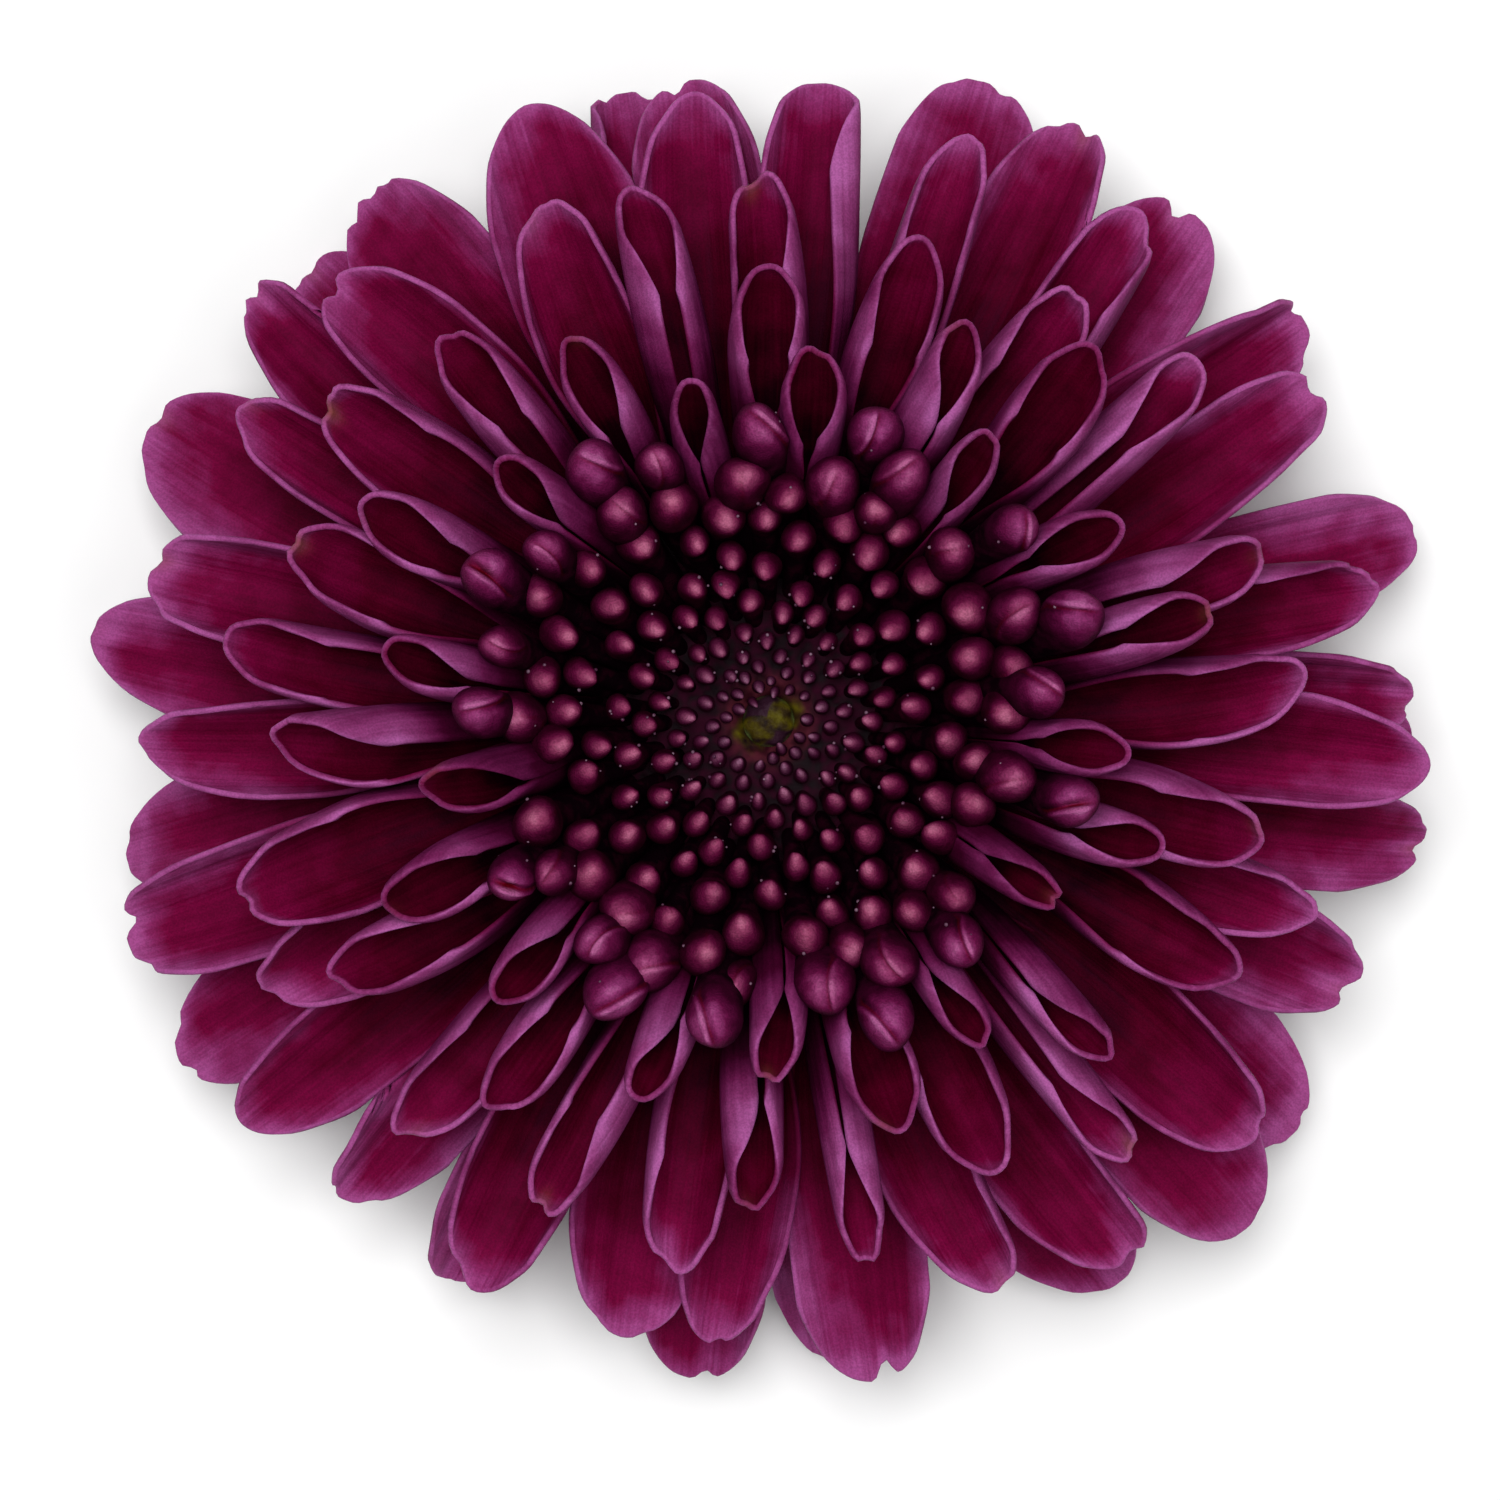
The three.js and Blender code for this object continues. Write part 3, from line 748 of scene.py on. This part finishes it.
def add_club(parts, floret, rows, columns):
    """A closed floret: a stalk that swells into a knob, with its margins rolled up to a slit."""
    hood = float(smooth(0.36, 0.52, floret.age))
    length = club_length(floret)
    cap = min(0.6, (2.1 - 0.9 * float(smooth(0.1, 0.5, floret.age))) * floret.knob / length)
    s, angle, profile = club_profile(rows, cap)
    # The columns crowd together at the slit, which runs from the crown down the inner side.
    even = np.linspace(-np.pi, np.pi, columns + 1)
    slant = np.pi / 2 + 0.5 * floret.slit
    turn = slant + even - 0.75 * hood * np.sin(even)
    folds = 0.06 * np.cos(2 * turn + floret.wave) + 0.04 * np.cos(3 * turn - 2 * floret.wave)
    radius = floret.knob * profile * (1 + folds * smooth(0.3, 1, s))
    x, n = radius * np.cos(turn), radius * np.sin(turn)
    inward = (x * math.cos(slant) + n * math.sin(slant)) / floret.knob
    aside = (n * math.cos(slant) - x * math.sin(slant)) / floret.knob
    past_crown = np.arctan2(inward, (s - 1 + cap) * length / floret.knob)
    hollow, lip, line, hole = club_seam(floret, hood, aside, past_crown)
    depth = (0.03 + 0.09 * hood) * hollow - (0.02 + 0.05 * hood) * lip + 0.55 * hole
    inwards = 1 - depth * smooth(0.3, 0.9, s) * smooth(0, 0.6, past_crown + 0.3)
    onward = -floret.knob * depth * smooth(0.2, 1.0, angle)
    grid = place(floret, s, x * inwards, n * inwards, onward)
    # Painted light and shade: the knob is painted lightest where it faces up, and its stalk painted
    # dark.
    slope = min(floret.end, math.radians(109))
    upward = math.sin(slope) * np.sin(angle) + math.cos(slope) * np.cos(angle) * np.sin(turn)
    light = 0.2 + 0.76 * np.clip(upward, 0, 1) ** (4.4 - 2.2 * hood)
    # Painted highlight on the seam's lip, painted shade in the hollow beside it.
    light = light + 0.2 * hood * lip - 0.25 * hood * hollow
    values = {
        "light": np.clip(light * smooth(1 - 2.2 * cap, 1 - 0.6 * cap, s), 0, 1),
        # The slit has the floret's inner red, deepened by painted shade in the crease and the hole.
        "slit": np.clip(line * (0.15 + 0.4 * hood) + 1.2 * hole, 0, 1),
        "hood": hood,
        "young": 1 - smooth(0, 0.14, floret.age),
    }
    add_tube(parts, grid, values)


def add_bead(parts, centre, radius):
    """A tiny ball."""
    polar, turn = np.meshgrid(np.linspace(0, np.pi, 6), np.linspace(0, 2 * np.pi, 9), indexing="ij")
    ring = radius * np.sin(polar)
    ring[[0, -1]] = 0
    grid = [ring * np.cos(turn), ring * np.sin(turn), -radius * np.cos(polar)]
    add_tube(parts, np.stack(grid, -1) + centre, {})


# ---- Receptacle, stalk and bracts


def flare_line(out, down):
    """The receptacle's underside, moved out and down."""
    return FLARE + [STALK_RADIUS + out, FLARE_START - down]


def dome_line(from_radius, to_radius, depth, steps):
    """Points along the dome from one radius to another, a fixed depth below it."""
    radius = np.linspace(from_radius, to_radius, steps + 1)
    return np.stack([radius, dome_height(radius) - depth], -1)


def eased(line, rounds=2):
    """A line with its corners cut again and again, so that it bends softly."""
    line = np.asarray(line, float)
    for _ in range(rounds):
        quarter = 0.75 * line[:-1] + 0.25 * line[1:]
        three_quarters = 0.25 * line[:-1] + 0.75 * line[1:]
        between = np.stack([quarter, three_quarters], 1).reshape(-1, 2)
        line = np.concatenate([line[:1], between, line[-1:]])
    return line


def cup_height(radius):
    """Height of the outside of the involucre's cup, carried on past its rim."""
    line = flare_line(CUP_OUT, CUP_DOWN + CUP_THICK)
    past_rim = np.maximum(radius - line[-1, 0], 0)
    return np.interp(radius, line[:, 0], line[:, 1]) + 0.2 * past_rim


def build_stalk(centre):
    """The ribbed stub of the stalk, the receptacle and its bare tip, the eye."""
    crown = dome_height(0)
    side = [(STALK_RADIUS - 0.12, STALK_END), (STALK_RADIUS, STALK_END + 0.15)]
    flare = flare_line(0, 0)
    dome = dome_line(flare[-1, 0], EYE_RADIUS + 0.1, CORE_THICK + 1.2 * GAP, 6)
    tip = [(EYE_RADIUS + 0.15, crown - 0.6), (0.9 * EYE_RADIUS, crown - 0.15), (0, crown + 0.1)]
    cut_face = np.stack([np.linspace(0, STALK_RADIUS - 0.2, 8), np.full(8, STALK_END)], -1)
    profile = np.concatenate([cut_face, eased([*side, *flare, *dome]), eased(tip, 3)])
    radius, height = profile[:, :1], profile[:, 1:]
    columns = 96
    turn = np.linspace(0, 2 * np.pi, columns + 1)
    ribs = 0.03 * np.cos(STALK_RIBS * turn) + 0.015 * np.cos(4 * turn + 1)
    ribs = ribs * smooth(FLARE_START + 1.4, FLARE_START, height)
    knobbly = 0.1 * np.sin(7 * turn + 3 * height) * smooth(crown - 1, crown, height)
    eye_share = smooth(crown - 0.8, crown - 0.3, height)
    values = {
        "cut": smooth(STALK_END + 0.05, STALK_END, height),
        "pith": smooth(0.75, 0.55, radius / STALK_RADIUS),
        "eye": eye_share,
        "haze": eye_share * smooth(0.8, 1.05, radius / eye_reach(turn)),
    }
    parts = MeshParts(1)
    add_turned(parts, profile, columns, values, ribs + knobbly)
    return parts.build("stalk_ribbed", stalk_material(), centre)


def build_packed_feet(centre):
    """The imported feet, a dome with a hole where the receptacle's tip shows."""
    hole, edge = EYE_RADIUS + 0.4 * GAP, RECEPTACLE_RADIUS + 0.6
    share = np.linspace(0, 0.97, 28)
    radius = hole + (edge - hole) * share
    swell = FEET_SWELL * np.sin(np.pi * share**1.3) - 0.35 * bell(radius - hole, 0.35)
    top = np.stack([radius, dome_height(radius) + swell], -1)
    under = dome_line(hole, RECEPTACLE_RADIUS, CORE_THICK, 8)
    profile = np.concatenate([under, top[::-1], under[:1]])
    columns = 72
    turn = np.linspace(0, 2 * np.pi, columns + 1)
    values = {
        # Painted shade: the feet are darker away from the eye, under the closed florets.
        "shade": smooth(1.4, 2.4, profile[:, :1]),
        "eye": smooth(1.1, 0.85, profile[:, :1] / eye_reach(turn)),
    }
    parts = MeshParts(1)
    add_turned(parts, profile, columns, values)
    return parts.build("floret_feet", feet_material(), centre)


def add_bract(parts, fine, row, turn):
    """A pointed green scale that lies against the cup, with thin ragged margins."""
    _, start, stop, half, below = row
    rows, columns = BRACT_GRID
    v, u = np.meshgrid(np.linspace(0, 1, rows), np.linspace(-1, 1, columns), indexing="ij")
    reach = stop - (stop - start) * 0.06 * fine(0, 1)
    radius = start + (reach - start) * v * (1 - 0.05 * u**2)
    falling = 1 - 0.85 * np.clip((v - 0.6) / 0.4, 0, 1) ** 1.7
    width = half * (0.8 + 0.2 * smooth(0, 0.6, v)) * falling
    side = u * width * (1 + 0.03 * np.sin(19 * v + fine(0, 6)))
    lift = 0.3 * np.abs(u) ** 1.5 * width / half + 0.1 * v**3
    height = cup_height(radius) - below + lift
    middle = laid_round(turn + 0.03 * fine(-1, 1), radius, side, height)
    margin = (1 - np.abs(u)) * width
    tip = (1 - v) * (stop - start)
    ends = rounded(v * (stop - start), 0.4) * rounded(tip, 0.5)
    thickness = BRACT_THICK * rounded(margin, 0.9) * ends
    thickness = thickness * (1 + 0.12 * bell(u, 0.15) - 0.1 * smooth(0.5, 1, v))
    papery = bell(np.minimum(margin, tip), 0.22)
    values = {"papery": papery, "keel": bell(u, 0.12), "tint": fine(0, 1)}
    add_sheet(parts, middle, thickness, values, values)


def build_bracts(centre):
    """The green cup under the florets, and its rows of bracts."""
    parts = MeshParts(2 * sum(row[0] for row in BRACT_ROWS) + 1, 2.0)
    upper = eased(flare_line(CUP_OUT, CUP_DOWN))
    lower = eased(flare_line(CUP_OUT, CUP_DOWN + CUP_THICK))
    cup = np.concatenate([lower, upper[::-1], lower[:1]])
    add_turned(parts, cup, 72, {"papery": 0.0, "keel": 0.0, "tint": 0.5})
    fine = Draw(SEED + 4)
    for index, row in enumerate(BRACT_ROWS):
        for i in range(row[0]):
            add_bract(parts, fine, row, 2 * np.pi * (i + index / 2) / row[0])
    return parts.build("bracts", bract_material(), centre)


# ---- Materials


def srgb(red, green, blue):
    """A colour from its 0 to 255 values, as the linear value that a shader takes."""
    shares = [value / 255 for value in (red, green, blue)]
    linear = [x / 12.92 if x <= 0.04045 else ((x + 0.055) / 1.055) ** 2.4 for x in shares]
    return (*linear, 1.0)


class Shader:
    """A material whose nodes are added one by one around its Principled BSDF."""

    def __init__(self, name, ior=1.45, glint=(1.0, 1.0, 1.0, 1.0)):
        self.material = bpy.data.materials.new(name)
        self.material.use_nodes = True
        self.tree = self.material.node_tree
        self.surface = self.tree.nodes["Principled BSDF"]
        self.feed(self.surface, {"IOR": ior, "Specular Tint": glint})

    def feed(self, node, inputs):
        """Links what comes from another node, and sets what is a plain value."""
        for key, value in inputs.items():
            if isinstance(value, bpy.types.NodeSocket):
                self.tree.links.new(value, node.inputs[key])
            else:
                node.inputs[key].default_value = value

    def node(self, kind, inputs, **settings):
        made = self.tree.nodes.new(kind)
        for key, value in settings.items():
            setattr(made, key, value)
        self.feed(made, inputs)
        return made

    def value(self, name):
        """A vertex value of the mesh."""
        return self.node("ShaderNodeAttribute", {}, attribute_name=name).outputs["Fac"]

    def add(self, first, second):
        return self.node("ShaderNodeMath", {0: first, 1: second}).outputs[0]

    def times(self, first, second):
        return self.node("ShaderNodeMath", {0: first, 1: second}, operation="MULTIPLY").outputs[0]

    def mix(self, share, first, second, blend="MIX"):
        inputs = {0: share, 6: first, 7: second}
        made = self.node("ShaderNodeMix", inputs, data_type="RGBA", blend_type=blend)
        return made.outputs[2]

    def shade(self, colour, factor):
        """A colour times a number."""
        grey = self.node("ShaderNodeCombineColor", {0: factor, 1: factor, 2: factor}).outputs[0]
        return self.mix(1.0, colour, grey, "MULTIPLY")

    def span(self, value, low, high, to_low=0.0, to_high=1.0):
        """A value carried smoothly from one span to another, and held at its ends."""
        inputs = {0: value, 1: low, 2: high, 3: to_low, 4: to_high}
        made = self.node("ShaderNodeMapRange", inputs, interpolation_type="SMOOTHSTEP")
        return made.outputs[0]

    def ramp(self, value, positions, colours):
        """A value turned into the colour that stands at its position, mixed in between."""
        made = self.node("ShaderNodeValToRGB", {0: value})
        elements = made.color_ramp.elements
        while len(elements) < len(colours):
            elements.new(0.5)
        for element, position, colour in zip(elements, positions, colours):
            element.position = position
            element.color = srgb(*colour)
        return made.outputs[0]

    def object_space(self):
        return self.node("ShaderNodeTexCoord", {}).outputs["Object"]

    def space(self, x, y, z):
        return self.node("ShaderNodeCombineXYZ", {0: x, 1: y, 2: z}).outputs[0]

    def noise(self, scale, detail=2.0, space=None):
        """Noise of this many patches to the metre, or to the unit of a space that is given."""
        space = space or self.object_space()
        inputs = {"Vector": space, "Scale": scale, "Detail": detail}
        return self.node("ShaderNodeTexNoise", inputs).outputs[0]

    def finish(self, colour, height, distance, roughness):
        """Links the colour, the relief of this many metres and the roughness."""
        inputs = {"Height": height, "Distance": distance}
        normal = self.node("ShaderNodeBump", inputs).outputs[0]
        inputs = {"Base Color": colour, "Normal": normal, "Roughness": roughness}
        self.feed(self.surface, inputs)
        return self.material


def blade_material():
    """Velvety petals, wine red inside and orchid on their backs, with fine streaks."""
    shader = Shader("ray_floret", 1.2, srgb(225, 110, 190))
    strands = shader.space(
        shader.times(shader.value("across"), 12.0),
        shader.times(shader.value("along"), 1.6),
        shader.times(shader.value("tint"), 57.0),
    )
    streaks = shader.noise(1.4, 3, strands)
    patches = shader.noise(560.0)
    grain = shader.noise(11000.0, 1)
    light = shader.add(shader.value("light"), shader.span(patches, 0.3, 0.7, -0.07, 0.07))
    light = shader.add(light, shader.span(streaks, 0.25, 0.75, -0.04, 0.04))
    light = shader.add(light, shader.span(shader.value("tint"), 0, 1, -0.05, 0.05))
    # Each ramp runs from painted shade to a painted highlight, after the vertex value light.
    inner_colours = [(22, 0, 4), (72, 0, 24), (104, 5, 50), (124, 36, 88), (154, 70, 130)]
    outer_colours = [(16, 0, 7), (58, 3, 33), (98, 24, 70), (128, 52, 104), (164, 86, 148)]
    inner = shader.ramp(light, (0, 0.3, 0.6, 0.8, 1.0), inner_colours)
    outer = shader.ramp(light, (0, 0.3, 0.55, 0.78, 1.0), outer_colours)
    colour = shader.mix(shader.value("pale"), inner, outer)
    colour = shader.shade(colour, shader.span(streaks, 0.25, 0.75, 0.95, 1.05))
    colour = shader.shade(colour, shader.span(grain, 0.3, 0.7, 0.86, 1.14))
    colour = shader.mix(shader.value("rust"), colour, srgb(120, 62, 40))
    height = shader.add(streaks, shader.times(grain, 0.4))
    return shader.finish(colour, height, 0.04 * MM, shader.span(streaks, 0.2, 0.8, 0.52, 0.66))


def club_material():
    """Closed florets, greyer when young, more orchid when they open, red and painted dark in their
    slits.
    """
    shader = Shader("young_floret", 1.2, srgb(235, 150, 190))
    grain = shader.noise(11000.0, 1)
    patches = shader.noise(1400.0, 4)
    light = shader.add(shader.value("light"), shader.span(patches, 0.3, 0.7, -0.09, 0.09))
    # Each ramp runs from painted shade to a painted highlight.
    positions = (0, 0.3, 0.6, 0.85, 1.0)
    skin_colours = [(8, 0, 4), (52, 1, 26), (88, 14, 52), (130, 52, 86), (162, 86, 116)]
    young_colours = [(22, 2, 10), (56, 12, 36), (82, 32, 62), (106, 60, 86), (132, 90, 116)]
    hooded_colours = [(10, 0, 5), (56, 2, 32), (94, 16, 62), (130, 48, 100), (162, 84, 134)]
    skin = shader.ramp(light, positions, skin_colours)
    young = shader.ramp(light, positions, young_colours)
    hooded = shader.ramp(light, positions, hooded_colours)
    colour = shader.mix(shader.value("young"), skin, young)
    colour = shader.mix(shader.value("hood"), colour, hooded)
    colour = shader.mix(shader.value("slit"), colour, srgb(92, 0, 16))
    colour = shader.shade(colour, shader.span(grain, 0.3, 0.7, 0.84, 1.16))
    return shader.finish(colour, grain, 0.04 * MM, shader.span(patches, 0.2, 0.8, 0.55, 0.7))


def eye_colour(shader):
    """The olive of the bare eye, blotched with brown."""
    blotches = shader.noise(1500.0, 3)
    return shader.ramp(blotches, (0.35, 0.5, 0.7), [(24, 10, 12), (52, 40, 8), (82, 74, 4)])


def feet_material():
    """Wine red feet, painted dark with shade under the closed florets, redder and lighter near the
    eye.
    """
    shader = Shader("floret_feet", 1.15)
    grain = shader.noise(1700.0, 1)
    light = shader.span(grain, 0.3, 0.7)
    middle = shader.ramp(light, (0, 1), [(46, 8, 20), (82, 28, 40)])
    outside = shader.ramp(light, (0, 1), [(14, 0, 7), (46, 4, 26)])
    colour = shader.mix(shader.value("shade"), middle, outside)
    colour = shader.mix(shader.value("eye"), colour, eye_colour(shader))
    return shader.finish(colour, grain, 0.15 * MM, shader.span(grain, 0.3, 0.7, 0.6, 0.8))


def stalk_material():
    """Fibrous green rind, with the moist cut face at one end and the eye at the other."""
    shader = Shader("stalk", 1.2)
    axes = shader.node("ShaderNodeSeparateXYZ", {0: shader.object_space()}).outputs
    long_space = shader.space(axes[0], axes[1], shader.times(axes[2], 0.12))
    fibres = shader.noise(2400.0, 3, long_space)
    grain = shader.noise(5000.0)
    rind = shader.ramp(fibres, (0.3, 0.55, 0.75), [(62, 74, 34), (96, 112, 54), (124, 140, 76)])
    ring = shader.ramp(grain, (0.3, 0.7), [(116, 132, 66), (150, 162, 96)])
    pith = shader.ramp(grain, (0.3, 0.7), [(178, 184, 138), (212, 214, 176)])
    cut = shader.mix(shader.value("pith"), ring, pith)
    colour = shader.mix(shader.value("cut"), rind, cut)
    colour = shader.mix(shader.value("eye"), colour, eye_colour(shader))
    colour = shader.mix(shader.value("haze"), colour, srgb(44, 18, 34))
    height = shader.add(fibres, shader.times(grain, 0.3))
    roughness = shader.span(shader.value("cut"), 0, 1, 0.6, 0.35)
    return shader.finish(colour, height, 0.12 * MM, roughness)


def bract_material():
    """Matt green scales with a darker keel and dry, papery margins."""
    shader = Shader("bract", 1.4)
    patches = shader.noise(700.0, 3)
    grain = shader.noise(6000.0)
    green = shader.ramp(patches, (0.3, 0.5, 0.7), [(62, 82, 36), (84, 104, 48), (112, 128, 66)])
    papery = shader.ramp(patches, (0.35, 0.65), [(112, 84, 50), (176, 154, 106)])
    colour = shader.mix(shader.span(shader.value("papery"), 0.2, 0.9), green, papery)
    keel = shader.times(shader.value("keel"), 0.6)
    colour = shader.mix(keel, colour, srgb(50, 70, 30))
    colour = shader.shade(colour, shader.span(shader.value("tint"), 0, 1, 0.86, 1.12))
    height = shader.add(patches, shader.times(grain, 0.5))
    return shader.finish(colour, height, 0.1 * MM, shader.span(grain, 0.3, 0.7, 0.5, 0.7))


def gland_material():
    shader = Shader("gland", 1.25)
    grain = shader.noise(3000.0)
    colour = shader.ramp(grain, (0.35, 0.65), [(70, 30, 56), (128, 100, 118)])
    return shader.finish(colour, grain, 0.01 * MM, shader.span(grain, 0.3, 0.7, 0.25, 0.4))


def floor_material():
    shader = Shader("floor")
    shader.feed(shader.surface, {"Base Color": (0.97, 0.97, 0.97, 1), "Roughness": 0.9})
    return shader.material


# ---- The bloom


def build_florets(florets, centre):
    """All pieces of florets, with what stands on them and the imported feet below."""
    blades = settle([floret for floret in florets if floret.age >= CLUB_AGE])
    closed = make_room([floret for floret in florets if floret.age < CLUB_AGE], blades)
    pieces = []
    material = blade_material()
    for name, youngest, oldest in OPEN_PIECES:
        held = [floret for floret in blades if youngest <= floret.age < oldest]
        parts = MeshParts(2 * len(held), 3.0)
        for floret in held:
            add_blade(parts, floret)
        pieces.append(parts.build(name, material, centre))
    material = club_material()
    for name, inner, outer, rows, columns in CLOSED_PIECES:
        held = [floret for floret in closed if inner <= floret.reach < outer]
        parts = MeshParts(len(held))
        for floret in held:
            add_club(parts, floret, rows, columns)
        pieces.append(parts.build(name, material, centre))
    pieces.append(build_glands(closed, centre))
    pieces.append(build_packed_feet(centre))
    return pieces


def build_glands(florets, centre):
    """Specks of resin that stand on the knobs of closed florets, listed from the outermost."""
    draw = Draw(SEED + 5)
    parts = MeshParts(GLANDS)
    for _ in range(GLANDS):
        floret = florets[int(len(florets) * draw(0, GLAND_BEARERS))]
        angle = draw(0.0, 0.9)
        turn = draw(0, 2 * math.pi)
        s = np.array(1 - 1.3 * floret.knob * (1 - math.sin(angle)) / club_length(floret))
        radius = floret.knob * math.cos(angle) * 0.98
        speck = place(floret, s, radius * math.cos(turn), radius * math.sin(turn))
        add_bead(parts, speck, GLAND_RADIUS * draw(0.6, 1.3))
    return parts.build("gland_dots", gland_material(), centre)


def build_floor():
    bpy.ops.mesh.primitive_plane_add(size=FLOOR_WIDTH * MM)
    floor = bpy.context.object
    floor.name = "floor"
    floor.data.materials.append(floor_material())


def light_studio():
    """Even white light from all around, and area lamps that face the bloom."""
    world = bpy.data.worlds.new("studio")
    bpy.context.scene.world = world
    world.use_nodes = True
    background = world.node_tree.nodes["Background"]
    background.inputs["Color"].default_value = (1, 1, 1, 1)
    background.inputs["Strength"].default_value = DAYLIGHT
    for name, location, width, power in LAMPS:
        lamp = bpy.data.lights.new(name, "AREA")
        lamp.size = width * MM
        lamp.energy = power
        holder = add_object(name, lamp)
        holder.location = Vector(location) * MM
        holder.rotation_euler = (-holder.location).to_track_quat("-Z", "Y").to_euler()


def set_camera(centre):
    """The camera looks straight down, from where its field is the photograph's."""
    camera = bpy.data.cameras.new("camera")
    camera.lens = LENS
    camera.sensor_width = SENSOR
    camera.clip_start = 0.01
    holder = add_object("camera", camera)
    height = OUTLINE_HEIGHT + PHOTO_FIELD * LENS / SENSOR
    holder.location = (*(centre + np.array(CAMERA_ASIDE) * MM), height * MM)
    bpy.context.scene.camera = holder
    bpy.context.scene.view_settings.view_transform = "Standard"


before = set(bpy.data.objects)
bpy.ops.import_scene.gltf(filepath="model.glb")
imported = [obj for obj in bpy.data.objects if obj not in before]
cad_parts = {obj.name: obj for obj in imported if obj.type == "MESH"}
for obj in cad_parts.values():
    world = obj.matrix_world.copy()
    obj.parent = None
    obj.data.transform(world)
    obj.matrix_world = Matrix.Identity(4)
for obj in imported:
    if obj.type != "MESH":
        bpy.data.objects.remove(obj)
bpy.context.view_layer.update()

low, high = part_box("stalk")
centre = np.array([(low.x + high.x) / 2, (low.y + high.y) / 2])
florets = grow_florets()
florets += grow_closed(len(florets))
pieces = build_florets(florets, centre)
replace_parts(pieces[0], "ray_florets")
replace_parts(build_stalk(centre), "stalk")
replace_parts(build_bracts(centre), "involucre")

build_floor()
light_studio()
set_camera(centre)
